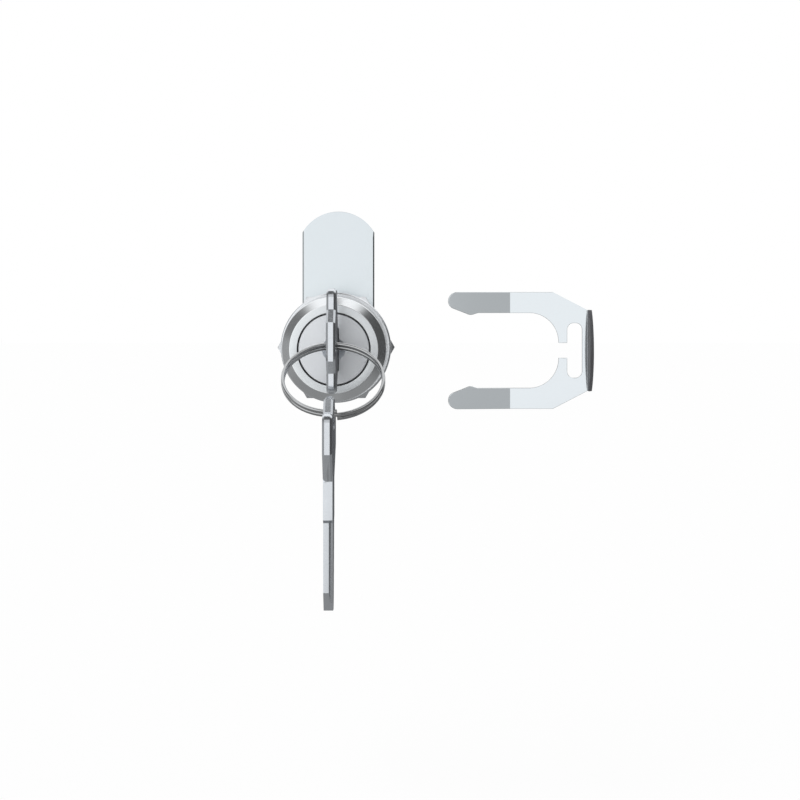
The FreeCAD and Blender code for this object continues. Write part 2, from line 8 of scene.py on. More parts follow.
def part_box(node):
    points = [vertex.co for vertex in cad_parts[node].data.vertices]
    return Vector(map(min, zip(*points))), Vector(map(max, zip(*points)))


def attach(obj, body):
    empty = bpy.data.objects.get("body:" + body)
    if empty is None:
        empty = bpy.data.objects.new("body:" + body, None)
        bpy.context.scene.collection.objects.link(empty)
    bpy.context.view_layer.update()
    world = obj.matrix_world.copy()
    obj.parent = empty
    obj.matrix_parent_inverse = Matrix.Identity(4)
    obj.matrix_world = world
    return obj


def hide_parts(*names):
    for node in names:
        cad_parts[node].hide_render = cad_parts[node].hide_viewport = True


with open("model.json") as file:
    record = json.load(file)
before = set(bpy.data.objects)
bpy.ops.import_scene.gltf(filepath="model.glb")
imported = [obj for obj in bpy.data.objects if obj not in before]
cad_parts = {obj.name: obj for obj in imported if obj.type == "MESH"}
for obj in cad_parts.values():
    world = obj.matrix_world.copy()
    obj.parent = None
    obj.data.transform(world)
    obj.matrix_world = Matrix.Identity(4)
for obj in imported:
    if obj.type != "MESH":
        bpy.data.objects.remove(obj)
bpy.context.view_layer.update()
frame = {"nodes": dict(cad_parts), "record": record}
print("frame loaded:", len(frame["nodes"]), "nodes")

mm = 0.001

# how fine the grain of each kind of finish is
finish = {
    "noiseSpan": (0.25, 0.75),  # most of a noise's values lie between these
    "cloudDetail": 3.0,
    "grainDetail": 4.0,
    "pebbleDetail": 5.0,
    "turnedWobble": 0.6,
    "grainHeight": 0.00001,
    "pebbleHeight": 0.00003,
}


def newMaterial(name):
    material = bpy.data.materials.new(name)
    material.use_nodes = True
    nodes = material.node_tree.nodes
    nodes.clear()
    output = nodes.new("ShaderNodeOutputMaterial")
    shader = nodes.new("ShaderNodeBsdfPrincipled")
    material.node_tree.links.new(shader.outputs[0], output.inputs[0])
    return material, shader


def addNode(material, kind):
    return material.node_tree.nodes.new(kind)


def link(material, start, end):
    material.node_tree.links.new(start, end)


def modelSpace(material, stretch=(1, 1, 1)):
    coordinates = addNode(material, "ShaderNodeTexCoord")
    mapping = addNode(material, "ShaderNodeMapping")
    mapping.inputs["Scale"].default_value = stretch
    link(material, coordinates.outputs["Object"], mapping.inputs["Vector"])
    return mapping.outputs["Vector"]


def valueRange(material, value, low, high):
    node = addNode(material, "ShaderNodeMapRange")
    node.inputs["From Min"].default_value = finish["noiseSpan"][0]
    node.inputs["From Max"].default_value = finish["noiseSpan"][1]
    node.inputs["To Min"].default_value = low
    node.inputs["To Max"].default_value = high
    link(material, value, node.inputs["Value"])
    return node.outputs["Result"]


def tintMix(material, factor, first, second):
    mix = addNode(material, "ShaderNodeMix")
    mix.data_type = "RGBA"
    mix.inputs["A"].default_value = (*first, 1)
    mix.inputs["B"].default_value = (*second, 1)
    link(material, factor, mix.inputs["Factor"])
    return mix.outputs["Result"]


def noiseNode(material, vector, scale, detail):
    noise = addNode(material, "ShaderNodeTexNoise")
    noise.inputs["Scale"].default_value = scale
    noise.inputs["Detail"].default_value = detail
    link(material, vector, noise.inputs["Vector"])
    return noise.outputs["Fac"]


def turnedRings(material, vector, scale):
    rings = addNode(material, "ShaderNodeTexWave")
    rings.wave_type = "RINGS"
    rings.rings_direction = "Y"
    rings.inputs["Scale"].default_value = scale
    rings.inputs["Distortion"].default_value = finish["turnedWobble"]
    link(material, vector, rings.inputs["Vector"])
    return rings.outputs["Fac"]


def bumpInto(material, shader, height, strength, distance):
    bump = addNode(material, "ShaderNodeBump")
    bump.inputs["Strength"].default_value = strength
    bump.inputs["Distance"].default_value = distance
    link(material, height, bump.inputs["Height"])
    link(material, bump.outputs["Normal"], shader.inputs["Normal"])


# cloudy tint, uneven gloss, and a fine grain that is turned or runs along one axis
def platedMetal(name, look):
    material, shader = newMaterial(name)
    shader.inputs["Metallic"].default_value = 1.0
    space = modelSpace(material)
    clouds = noiseNode(material, space, look["cloudScale"], finish["cloudDetail"])
    tint = tintMix(material, clouds, look["tint"], look["tintWorn"])
    link(material, tint, shader.inputs["Base Color"])
    if "grain" in look:
        grainSpace = modelSpace(material, look["grain"])
        grain = noiseNode(material, grainSpace, look["grainScale"], finish["grainDetail"])
    else:
        grain = turnedRings(material, space, look["grainScale"])
    link(material, valueRange(material, grain, *look["gloss"]), shader.inputs["Roughness"])
    bumpInto(material, shader, grain, look["grainDepth"], finish["grainHeight"])
    if "edgeTint" in look:
        shader.inputs["Specular Tint"].default_value = (*look["edgeTint"], 1.0)
    return material


# nearly black and dull steel, painted shade on the clip tab's inner faces
def paintedShadeSteel(name, look):
    material, shader = newMaterial(name)
    patches = noiseNode(material, modelSpace(material), look["cloudScale"], finish["cloudDetail"])
    tint = tintMix(material, patches, look["tint"], look["tintWorn"])
    link(material, tint, shader.inputs["Base Color"])
    grainSpace = modelSpace(material, look["grain"])
    grain = noiseNode(material, grainSpace, look["grainScale"], finish["grainDetail"])
    link(material, valueRange(material, grain, *look["gloss"]), shader.inputs["Roughness"])
    shader.inputs["Specular IOR Level"].default_value = look["specular"]
    bumpInto(material, shader, grain, look["grainDepth"], finish["grainHeight"])
    return material


# near black with a dusty bloom and a fine pebble
def rubber(name, look):
    material, shader = newMaterial(name)
    space = modelSpace(material)
    bloom = noiseNode(material, space, look["bloomScale"], finish["cloudDetail"])
    tint = tintMix(material, bloom, look["tint"], look["bloom"])
    link(material, tint, shader.inputs["Base Color"])
    pebble = noiseNode(material, space, look["pebbleScale"], finish["pebbleDetail"])
    link(material, valueRange(material, pebble, *look["gloss"]), shader.inputs["Roughness"])
    bumpInto(material, shader, pebble, look["pebbleDepth"], finish["pebbleHeight"])
    return material


dieCastLook = {
    "tint": (0.98, 0.985, 0.99), "tintWorn": (0.94, 0.95, 0.96), "cloudScale": 160,
    "grainScale": 1100, "grainDepth": 0.10, "gloss": (0.13, 0.20),
}
faceLook = {
    "tint": (0.95, 0.97, 0.98), "tintWorn": (0.93, 0.95, 0.96), "cloudScale": 160,
    "grainScale": 1100, "grainDepth": 0.08, "gloss": (0.30, 0.36),
}
plugLook = {
    "tint": (0.96, 0.97, 0.985), "tintWorn": (0.94, 0.95, 0.97), "cloudScale": 220,
    "grainScale": 1600, "grainDepth": 0.10, "gloss": (0.40, 0.46),
}
barrelLook = {
    "tint": (0.74, 0.75, 0.77), "tintWorn": (0.66, 0.67, 0.69), "cloudScale": 200,
    "grain": (1, 1, 1), "grainScale": 2600, "grainDepth": 0.25, "gloss": (0.26, 0.36),
}
# painted shade for the gap between head and plug: darker, duller metal on the faces inside it
gapShadeLook = {
    "tint": (0.52, 0.52, 0.53), "tintWorn": (0.42, 0.42, 0.43), "cloudScale": 300,
    "grain": (1, 1, 1), "grainScale": 2400, "grainDepth": 0.2, "gloss": (0.5, 0.6),
}
camLook = {
    "tint": (0.86, 0.89, 0.93), "tintWorn": (0.83, 0.885, 0.895), "cloudScale": 60,
    "grain": (12, 6, 0.6), "grainScale": 900, "grainDepth": 0.08, "gloss": (0.16, 0.24),
}
zincLook = {
    "tint": (0.94, 0.95, 0.965), "tintWorn": (0.90, 0.91, 0.93), "cloudScale": 240,
    "grain": (1, 1, 1), "grainScale": 2200, "grainDepth": 0.02, "gloss": (0.20, 0.28),
}
nutLook = {
    "tint": (0.90, 0.91, 0.92), "tintWorn": (0.84, 0.85, 0.87), "cloudScale": 240,
    "grain": (1, 0.4, 1), "grainScale": 1600, "grainDepth": 0.03, "gloss": (0.22, 0.32),
}
keyLook = {
    "tint": (0.84, 0.86, 0.89), "tintWorn": (0.76, 0.78, 0.81), "cloudScale": 300,
    "grain": (1, 0.7, 6), "grainScale": 1800, "grainDepth": 0.10, "gloss": (0.14, 0.24),
}
# the keys' two broad faces, duller than their cut edges
keySideLook = {
    "tint": (0.80, 0.82, 0.85), "tintWorn": (0.73, 0.75, 0.78), "cloudScale": 300,
    "grain": (1, 0.7, 6), "grainScale": 1800, "grainDepth": 0.10, "gloss": (0.34, 0.44),
    "edgeTint": (0.0, 0.0, 0.0),
}
ringLook = {
    "tint": (0.62, 0.62, 0.62), "tintWorn": (0.50, 0.50, 0.50), "cloudScale": 400,
    "grain": (1, 1, 1), "grainScale": 2600, "grainDepth": 0.06, "gloss": (0.08, 0.14),
}
clipLook = {
    "tint": (0.87, 0.90, 0.93), "tintWorn": (0.85, 0.89, 0.905), "cloudScale": 60,
    "grain": (0.7, 6, 9), "grainScale": 800, "grainDepth": 0.06, "gloss": (0.06, 0.10),
}
# painted shade: the near-black look of the clip tab's inner faces
tabShadeLook = {
    "tint": (0.055, 0.055, 0.06), "tintWorn": (0.095, 0.095, 0.10), "cloudScale": 300,
    "grain": (1, 1, 1), "grainScale": 1500, "grainDepth": 0.10, "gloss": (0.45, 0.60),
    "specular": 0.25,
}
brassLook = {
    "tint": (0.78, 0.62, 0.32), "tintWorn": (0.66, 0.50, 0.25), "cloudScale": 700,
    "grain": (6, 1, 1), "grainScale": 1500, "grainDepth": 0.15, "gloss": (0.24, 0.36),
}
springLook = {
    "tint": (0.62, 0.63, 0.65), "tintWorn": (0.50, 0.51, 0.53), "cloudScale": 900,
    "grain": (1, 1, 1), "grainScale": 4000, "grainDepth": 0.1, "gloss": (0.22, 0.32),
}
gasketLook = {
    "tint": (0.035, 0.035, 0.038), "bloom": (0.07, 0.07, 0.072), "bloomScale": 500,
    "pebbleScale": 5000, "pebbleDepth": 0.3, "gloss": (0.5, 0.7),
}

metalLooks = {
    "die_cast": dieCastLook, "die_cast_barrel": barrelLook, "head_face": faceLook,
    "plug_face": plugLook, "plug_core": barrelLook, "gap_shade_metal": gapShadeLook,
    "zinc_plate": zincLook, "nut_plate": nutLook, "cam_steel": camLook,
    "key_nickel": keyLook, "key_side": keySideLook, "ring_steel": ringLook,
    "clip_steel": clipLook, "wafer_brass": brassLook, "spring_steel": springLook,
}
materials = {name: platedMetal(name, look) for name, look in metalLooks.items()}
# near-black material for the painted shade on the clip tab's inner faces
materials["clip_tab"] = paintedShadeSteel("clip_tab", tabShadeLook)
materials["gasket"] = rubber("gasket", gasketLook)
materials["seal"] = rubber("seal", gasketLook)

slots = {row["node"]: row["material_slot"] for row in frame["record"]["subparts"]}
for name, node in frame["nodes"].items():
    node.data.materials.clear()
    node.data.materials.append(materials[slots[name]])
print("materials made:", len(materials))

# angles in degrees, distances in metres
meshRules = {
    "mergeDistance": 0.000002,
    "flatAngle": 0.4,
    "sharpAngle": 30.0,
    "creaseAngle": 50.0,
    "levelShare": 0.9,  # a face looks fore or aft when its normal's Y share passes this
    "sameSpot": 0.00001,
    "skin": 0.01 * mm,
}


# sharp edges: past the crease angle, between two materials, or past fold where both faces look
# fore or aft
def markCreases(mesh, crease, fold):
    shape = bmesh.new()
    shape.from_mesh(mesh)
    shape.normal_update()
    for edge in shape.edges:
        if len(edge.link_faces) != 2:
            continue
        turn = math.degrees(edge.calc_face_angle())
        level = min(abs(face.normal.y) for face in edge.link_faces) > meshRules["levelShare"]
        seam = len({face.material_index for face in edge.link_faces}) > 1
        edge.smooth = not (seam or turn > crease or (fold and level and turn > fold))
    shape.to_mesh(mesh)
    shape.free()


# puts a finished mesh on its body; flat faces stay flat up to their small rounds
def place(name, mesh, body, slotName, crease=meshRules["creaseAngle"], fold=0):
    piece = bpy.data.objects.new(name, mesh)
    bpy.context.scene.collection.objects.link(piece)
    mesh.shade_smooth()
    markCreases(mesh, crease, fold)
    if not mesh.materials:
        mesh.materials.append(materials[slotName])
    weighted = piece.modifiers.new("flat faces", "WEIGHTED_NORMAL")
    weighted.keep_sharp = True
    weighted.weight = 100
    piece.data = bpy.data.meshes.new_from_object(
        piece.evaluated_get(bpy.context.evaluated_depsgraph_get()))
    piece.data.name = name
    piece.modifiers.clear()
    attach(piece, body)
    return piece


# the node's mesh with its seams merged and its flat faces made whole
def cleanCopy(node):
    shape = bmesh.new()
    shape.from_mesh(frame["nodes"][node].data)
    bmesh.ops.remove_doubles(shape, verts=shape.verts, dist=meshRules["mergeDistance"])
    bmesh.ops.dissolve_limit(shape, angle_limit=math.radians(meshRules["flatAngle"]),
                             verts=shape.verts, edges=shape.edges)
    return shape


# a small round on every sharp edge
def breakEdges(shape, width, minAngle=meshRules["sharpAngle"]):
    sharp = [edge for edge in shape.edges
             if len(edge.link_faces) == 2 and edge.calc_face_angle() > math.radians(minAngle)]
    bmesh.ops.bevel(shape, geom=sharp, offset=width, offset_type="OFFSET", segments=2,
                    profile=0.5, affect="EDGES", clamp_overlap=True)


# one flat chamfer along the given edges
def chamferEdges(shape, edges, width):
    bmesh.ops.bevel(shape, geom=edges, offset=width, offset_type="OFFSET", segments=1,
                    profile=0.5, affect="EDGES", clamp_overlap=False)


def toMesh(shape, name):
    mesh = bpy.data.meshes.new(name)
    shape.normal_update()
    shape.to_mesh(mesh)
    shape.free()
    return mesh


# closes a row of equal rings of vertices into one solid
def skinRings(shape, rings):
    for lower, upper in zip(rings[:-1], rings[1:]):
        for step in range(len(lower)):
            after = (step + 1) % len(lower)
            shape.faces.new((lower[step], lower[after], upper[after], upper[step]))
    shape.faces.new(rings[0])
    shape.faces.new(list(reversed(rings[-1])))
    bmesh.ops.recalc_face_normals(shape, faces=shape.faces)


threadForm = {"crest": 0.15, "flank": 0.7}  # shares of half a pitch


# a rod about the Y axis with a helical thread, one rise per pitch
def threadMesh(name, spec):
    around = spec["around"]
    length = spec["end"] - spec["start"]
    rows = int(round(length / spec["pitch"] * spec["rowsPerPitch"]))
    shape = bmesh.new()
    rings = []
    for row in range(rows + 1):
        y = spec["start"] + length * row / rows
        ring = []
        for step in range(around):
            angle = 2 * math.pi * step / around
            phase = (y / spec["pitch"] - step / around) % 1.0
            fromCrest = abs(phase - 0.5) * 2
            down = (fromCrest - threadForm["crest"]) / threadForm["flank"]
            drop = spec["depth"] * min(1.0, max(0.0, down))
            edge = min(y - spec["start"], spec["end"] - y) / spec["pitch"]
            lead = spec["lead"] * max(0.0, 1.0 - edge)
            radius = spec["radius"] - max(drop, lead)
            ring.append(shape.verts.new((radius * math.cos(angle) * mm, y * mm,
                                         radius * math.sin(angle) * mm)))
        rings.append(ring)
    skinRings(shape, rings)
    return toMesh(shape, name)


def booleanMesh(base, tool, operation):
    first = bpy.data.objects.new("boolean_base", base)
    second = bpy.data.objects.new("boolean_tool", tool)
    for thing in (first, second):
        bpy.context.scene.collection.objects.link(thing)
    cut = first.modifiers.new("cut", "BOOLEAN")
    cut.operation = operation
    cut.object = second
    cut.solver = "EXACT"
    result = bpy.data.meshes.new_from_object(
        first.evaluated_get(bpy.context.evaluated_depsgraph_get()))
    for thing in (first, second):
        bpy.data.objects.remove(thing)
    return result


# a solid turned about the Y axis from (radius, y) points in millimetres
def lathed(name, profile, around):
    shape = bmesh.new()
    rings = []
    for radius, y in profile:
        if radius == 0:
            rings.append([shape.verts.new((0, y * mm, 0))])
            continue
        rings.append([shape.verts.new((radius * math.cos(2 * math.pi * k / around) * mm, y * mm,
                                       radius * math.sin(2 * math.pi * k / around) * mm))
                      for k in range(around)])
    for lower, upper in zip(rings, rings[1:] + rings[:1]):
        for k in range(around):
            after = (k + 1) % around
            corners = [lower[k % len(lower)], lower[after % len(lower)],
                       upper[after % len(upper)], upper[k % len(upper)]]
            corners = list(dict.fromkeys(corners))
            if len(corners) > 2:
                shape.faces.new(corners)
    bmesh.ops.recalc_face_normals(shape, faces=shape.faces)
    return toMesh(shape, name)


roundSteps = 4


# the outline of (radius, y, round) corners, each corner replaced by a small curve
def softened(corners):
    points = []
    count = len(corners)
    for index, (radius, y, size) in enumerate(corners):
        here = Vector((radius, y))
        if size <= 0:
            points.append((radius, y))
            continue
        before = (Vector(corners[index - 1][:2]) - here).normalized() * size
        after = (Vector(corners[(index + 1) % count][:2]) - here).normalized() * size
        for step in range(roundSteps + 1):
            t = step / roundSteps
            point = here + before * (1 - t) ** 2 + after * t ** 2
            points.append((point.x, point.y))
    return points


def fromAxis(face):
    return math.hypot(face.center.x, face.center.z) / mm


# lock body: a turned head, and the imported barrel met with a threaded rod
head = {
    "face": -5.8, "seat": -0.8, "counterbore": -2.8, "bore": 6.55, "mouth": 7.90,
    "faceRadius": 9.5, "faceFall": 0.11, "bevelEnd": -3.9, "radius": 11.25,
    "faceRound": 0.07, "mouthRound": 0.06, "rimRound": 0.22, "seatRound": 0.15,
    "facing": 0.99, "crease": 24, "around": 192,
}
barrelThread = {
    "radius": 9.52, "start": -0.8, "end": 23.6, "pitch": 1.0, "depth": 0.52, "lead": 0.0,
    "around": 96, "rowsPerPitch": 8,
}
barrelEdges = {"round": 0.12, "sharpAngle": 35.0}


def makeHead():
    spec = head
    mesh = lathed("lock_head", softened([
        (spec["bore"], spec["seat"], 0),
        (spec["bore"], spec["counterbore"], 0),
        (spec["mouth"], spec["counterbore"], 0),
        (spec["mouth"], spec["face"], spec["mouthRound"]),
        (spec["faceRadius"], spec["face"] + spec["faceFall"], spec["faceRound"]),
        (spec["radius"], spec["bevelEnd"], spec["rimRound"]),
        (spec["radius"], spec["seat"], spec["seatRound"]),
    ]), spec["around"])
    for name in ("die_cast", "head_face", "gap_shade_metal"):
        mesh.materials.append(materials[name])
    gapTop = (spec["face"] + spec["mouthRound"]) * mm
    # faces inside the gap between head and plug get the darker metal as painted shade; the front
    # faces get the face finish
    for face in mesh.polygons:
        inGap = fromAxis(face) * mm < spec["mouth"] * mm + meshRules["skin"]
        if inGap and face.center.y > gapTop:
            face.material_index = 2
        elif face.normal.y < -spec["facing"]:
            face.material_index = 1
    piece = place("lock_head", mesh, "housing", "die_cast", spec["crease"])
    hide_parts("lock_body")


def makeBarrel():
    shape = cleanCopy("lock_body")
    breakEdges(shape, barrelEdges["round"] * mm, barrelEdges["sharpAngle"])
    body = toMesh(shape, "lock_body_clean")
    thread = threadMesh("barrel_thread", barrelThread)
    mesh = booleanMesh(body, thread, "INTERSECT")
    mesh.name = "lock_barrel"
    mesh.materials.clear()
    mesh.materials.append(materials["die_cast_barrel"])
    piece = place("lock_barrel", mesh, "housing", "die_cast")
    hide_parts("lock_body")


makeHead()
makeBarrel()
print("lock body made")

# plug: a turned front with a dished recess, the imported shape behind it, a threaded stud
plugFront = {
    "face": -5.8, "back": -4.7, "radius": 7.54, "rimRound": 0.08, "neck": -3.8,
    "neckRadius": 6.2, "dishRadius": 2.5, "dishDepth": 1.55, "dishFloor": 1.2,
    "dishRound": 0.05, "fall": 0.28, "crease": 20, "around": 192,
}
keySlot = {
    "half": 1.05, "tall": 4.6, "flare": 0.16, "flareDepth": 0.2, "tallFlare": 0.6,
    "inFront": 0.42, "behindNeck": 0.5,
}
plugCore = {"studCut": 24.52, "round": 0.06, "sharpAngle": 50.0, "crease": 30}
studThread = {
    "radius": 2.98, "start": 24.4, "end": 32.2, "pitch": 1.0, "depth": 0.55, "lead": 0.5,
    "around": 40, "rowsPerPitch": 8,
}


# what is cut out of the plug's front: the keyway, flared towards the face
def makeKeySlotTool():
    spec = keySlot
    shape = bmesh.new()
    levels = [
        (plugFront["face"] - spec["inFront"], 2 * spec["flare"]),
        (plugFront["face"] + spec["flareDepth"], 0.0),
        (plugFront["neck"] + spec["behindNeck"], 0.0),
    ]
    rings = []
    for y, grow in levels:
        half, tall = spec["half"] + grow, spec["tall"] + grow * spec["tallFlare"]
        rings.append([shape.verts.new((x * half * mm, y * mm, z * tall * mm))
                      for x, z in ((-1, -1), (1, -1), (1, 1), (-1, 1))])
    skinRings(shape, rings)
    return toMesh(shape, "key_slot")


def makePlugFront():
    spec = plugFront
    disc = lathed("plug_disc", softened([
        (0, spec["neck"], 0),
        (0, spec["face"] + spec["dishDepth"], 0),
        (spec["dishFloor"], spec["face"] + spec["dishDepth"], 0),
        (spec["dishRadius"], spec["face"], spec["dishRound"]),
        (spec["radius"], spec["face"] + spec["fall"], spec["rimRound"]),
        (spec["radius"], spec["back"], 0),
        (spec["neckRadius"], spec["back"], 0),
        (spec["neckRadius"], spec["neck"], 0),
    ]), spec["around"])
    mesh = booleanMesh(disc, makeKeySlotTool(), "DIFFERENCE")
    mesh.name = "plug_front"
    mesh.materials.clear()
    mesh.materials.append(materials["plug_face"])
    mesh.materials.append(materials["gap_shade_metal"])
    rimTop = (spec["face"] + spec["rimRound"]) * mm
    # the plug's rim behind its face, inside the gap, gets the darker metal as painted shade
    for face in mesh.polygons:
        onRim = fromAxis(face) * mm > spec["radius"] * mm - meshRules["skin"]
        face.material_index = 1 if onRim and face.center.y > rimTop else 0
    piece = place("plug_front", mesh, "plug_unit", "plug_face", spec["crease"])
    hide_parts("plug")


def makePlugCore():
    spec = plugCore
    shape = cleanCopy("plug")
    for y, outward in ((spec["studCut"], 1), (plugFront["neck"], -1)):
        cut = bmesh.ops.bisect_plane(
            shape, geom=shape.verts[:] + shape.edges[:] + shape.faces[:],
            plane_co=(0, y * mm, 0), plane_no=(0, outward, 0), clear_outer=True)
        rim = [item for item in cut["geom_cut"] if isinstance(item, bmesh.types.BMEdge)]
        bmesh.ops.holes_fill(shape, edges=rim, sides=0)
    breakEdges(shape, spec["round"] * mm, spec["sharpAngle"])
    mesh = toMesh(shape, "plug_core")
    mesh.materials.append(materials["plug_core"])
    piece = place("plug_core", mesh, "plug_unit", "plug_face", spec["crease"])
    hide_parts("plug")


makePlugFront()
makePlugCore()
place("plug_stud", threadMesh("plug_stud", studThread), "plug_unit", "plug_face")
print("plug made")

# washers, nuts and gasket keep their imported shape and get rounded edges
edgeRounds = {
    "cam_washer": ("plug_unit", 0.08), "cam_nut": ("plug_unit", 0.08),
    "stop_washer": ("plug_unit", 0.08), "hex_nut": ("housing", 0.12),
    "nut_washer": ("housing", 0.45), "head_gasket": ("housing", 0.12),
}
for node, (body, width) in edgeRounds.items():
    shape = cleanCopy(node)
    breakEdges(shape, width * mm)
    piece = place(node + "_look", toMesh(shape, node + "_look"), body, slots[node])
    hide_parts(node)
print("washers, nuts and gasket made")

# cam: its two straight front edges carry a chamfer
camEdges = {"chamfer": 0.31, "round": 0.05, "sharpAngle": 50.0, "straight": 5.0, "crease": 22}


def makeCam():
    shape = cleanCopy("cam")
    low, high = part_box("cam")
    same = meshRules["sameSpot"]
    rims = []
    for edge in shape.edges:
        first, second = edge.verts[0].co, edge.verts[1].co
        fromSide = min(abs(first.x - low.x), abs(first.x - high.x))
        onSide = fromSide < same and abs(first.x - second.x) < same
        inFront = abs(first.y - low.y) < same and abs(second.y - low.y) < same
        if onSide and inFront and edge.calc_length() > camEdges["straight"] * mm:
            rims.append(edge)
    chamferEdges(shape, rims, camEdges["chamfer"] * mm)
    breakEdges(shape, camEdges["round"] * mm, camEdges["sharpAngle"])
    piece = place("cam_look", toMesh(shape, "cam_look"), "plug_unit", slots["cam"],
                  camEdges["crease"])
    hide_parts("cam")


makeCam()

# clip: crisp folds, its thumb tab sheared off at a slant, and the tab's inner faces painted near
# black as shade
clipEdges = {
    "round": 0.06, "sharpAngle": 50.0, "crease": 24, "fold": 0.8,
    "shear": 0.62, "shearAngle": 60.0, "shearRise": 0.3, "shearReach": 4.5,
    "tabRun": 1.1, "frontShare": 0.999, "outsideShare": 0.9,
}


def makeClip():
    spec = clipEdges
    shape = cleanCopy("retaining_clip")
    low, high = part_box("retaining_clip")
    same = meshRules["sameSpot"]
    rims = []
    for edge in shape.edges:
        first, second = edge.verts[0].co, edge.verts[1].co
        outside = abs(first.x - high.x) < same and abs(second.x - high.x) < same
        upright = abs(first.z - second.z) > spec["shearRise"] * mm
        onTab = first.y < low.y + spec["shearReach"] * mm
        if not (outside and upright and onTab and len(edge.link_faces) == 2):
            continue
        if edge.calc_face_angle() > math.radians(spec["shearAngle"]):
            rims.append(edge)
    chamferEdges(shape, rims, spec["shear"] * mm)
    breakEdges(shape, spec["round"] * mm, spec["sharpAngle"])
    mesh = toMesh(shape, "retaining_clip_look")
    mesh.materials.append(materials["clip_steel"])
    # second slot: the near-black painted shade for the tab's inner faces
    mesh.materials.append(materials["clip_tab"])
    front = max((face for face in mesh.polygons if face.normal.y < -spec["frontShare"]),
                key=lambda face: face.area)
    # the tab's inner faces get the near-black material: painted shade
    for face in mesh.polygons:
        atEnd = face.center.x > high.x - spec["tabRun"] * mm
        onTab = atEnd and face.center.y < front.center.y - meshRules["skin"]
        face.material_index = 1 if onTab and face.normal.x < spec["outsideShare"] else 0
    piece = place("retaining_clip_look", mesh, "clip", slots["retaining_clip"],
                  spec["crease"], spec["fold"])
    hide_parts("retaining_clip")


makeClip()
print("cam and clip made")

# keys: wide chamfers round the bow, small rounds on the blade
keyEdges = {
    "chamfer": 0.42, "rimAngle": 60.0, "bowLength": 15.9, "holeFromEnd": 4.3,
    "holeRadius": 2.1, "holeMargin": 0.2, "broadShare": 0.99,
    "round": 0.07, "sharpAngle": 50.0, "crease": 22,
}


# along runs from the bow to the tip, across from edge to edge
def makeKey(node, body, along, across):
    spec = keyEdges
    shape = cleanCopy(node)
    shape.normal_update()
    along, across = Vector(along), Vector(across)
    low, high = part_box(node)
    start = min(low.dot(along), high.dot(along))
    middle = (low + high).dot(across) / 2
    keepOff = spec["holeRadius"] + spec["holeMargin"]
    rims = []
    for edge in shape.edges:
        if len(edge.link_faces) != 2 or edge.calc_face_angle() < math.radians(spec["rimAngle"]):
            continue
        if max(abs(face.normal.x) for face in edge.link_faces) < spec["broadShare"]:
            continue
        spot = (edge.verts[0].co + edge.verts[1].co) / 2
        reach = (spot.dot(along) - start) / mm
        fromHole = math.hypot(reach - spec["holeFromEnd"], (spot.dot(across) - middle) / mm)
        if reach < spec["bowLength"] and fromHole > keepOff:
            rims.append(edge)
    chamferEdges(shape, rims, spec["chamfer"] * mm)
    breakEdges(shape, spec["round"] * mm, spec["sharpAngle"])
    mesh = toMesh(shape, node + "_look")
    mesh.materials.append(materials["key_nickel"])
    mesh.materials.append(materials["key_side"])
    for face in mesh.polygons:
        face.material_index = 1 if abs(face.normal.x) > spec["broadShare"] else 0
    piece = place(node + "_look", mesh, body, slots[node], spec["crease"])
    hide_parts(node)


makeKey("key", "lock_key", (0, 1, 0), (0, 0, 1))
makeKey("spare_key", "hanging_key", (0, 0, -1), (0, 1, 0))
print("keys made")

# split ring: two touching turns of flattened wire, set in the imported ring's box
splitRing = {
    "radius": 10.15, "pitch": 0.92, "turns": 2, "cutAngle": 276.0, "tilt": 49.5,
    "radial": 0.35, "axial": 0.42, "roundness": 2.6, "stepsPerTurn": 96, "sectionPoints": 16,
}


def makeSplitRing():
    spec = splitRing
    shape = bmesh.new()
    rings = []
    tilt = Matrix.Rotation(math.radians(90 - spec["tilt"]), 4, "X")
    power = 2 / spec["roundness"]
    for step in range(spec["turns"] * spec["stepsPerTurn"] + 1):
        turn = step / spec["stepsPerTurn"]
        angle = math.radians(spec["cutAngle"]) + 2 * math.pi * turn
        middle = (turn - spec["turns"] / 2) * spec["pitch"]
        ring = []
        for k in range(spec["sectionPoints"]):
            around = 2 * math.pi * k / spec["sectionPoints"]
            c, s = math.cos(around), math.sin(around)
            reach = spec["radius"] + math.copysign(abs(c) ** power, c) * spec["radial"]
            rise = middle + math.copysign(abs(s) ** power, s) * spec["axial"]
            point = Vector((reach * math.cos(angle), reach * math.sin(angle), rise))
            ring.append(shape.verts.new(tilt @ point * mm))
        rings.append(ring)
    skinRings(shape, rings)
    mesh = toMesh(shape, "key_ring_look")
    points = [vertex.co for vertex in mesh.vertices]
    centre = Vector([(max(p[i] for p in points) + min(p[i] for p in points)) / 2
                     for i in range(3)])
    low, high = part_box("key_ring")
    mesh.transform(Matrix.Translation((low + high) / 2 - centre))
    piece = place("key_ring_look", mesh, "ring", "ring_steel")
    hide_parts("key_ring")


makeSplitRing()
print("split ring made")

# floor: pale, and almost white to the camera
floorSpec = {"size": 4.0, "height": -0.105, "cells": 8, "paint": 0.86, "whiteShare": 0.88}


